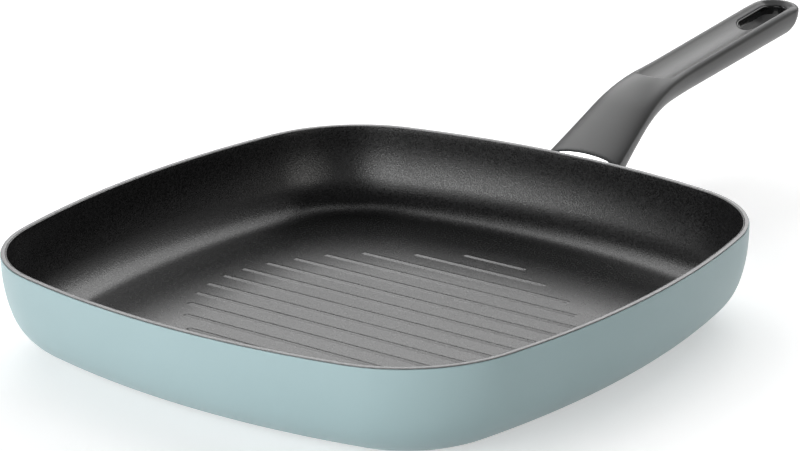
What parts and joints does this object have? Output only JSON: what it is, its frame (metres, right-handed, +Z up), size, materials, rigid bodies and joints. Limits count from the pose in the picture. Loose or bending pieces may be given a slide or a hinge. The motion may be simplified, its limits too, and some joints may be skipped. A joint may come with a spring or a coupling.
{
  "type": "grill pan",
  "caption": "Square grill pan with round corners, ridged non-stick inside, pale lacquered outside, and a bent moulded handle with a scooped grip and a hang hole.",
  "frame": {"origin": "middle of the flat underside, on the surface the pan stands on", "axes": "+X runs from the pan's middle out along the handle, +Z up, +Y to the left when looking along the handle"},
  "size_m": [0.4786, 0.28, 0.0757],
  "materials": {
    "bare_aluminium": "machined",
    "nonstick": "semi-gloss, finely grained",
    "lacquer": "satin",
    "plate_steel": "turned",
    "polished_steel": "polished",
    "handle_grey": "satin, soft to the touch",
    "gloss_black": "gloss",
    "fastener_steel": "plain"
  },
  "bodies": {
    "root": {"pan_body": "bare_aluminium", "nonstick_lining": "nonstick", "lacquer_coat": "lacquer", "base_plate": "plate_steel", "handle_bracket": "bare_aluminium", "flame_guard": "polished_steel", "handle_grip": "handle_grey", "hang_liner": "gloss_black", "handle_screw": "fastener_steel", "lock_washer": "fastener_steel"}
  },
  "joints": []
}
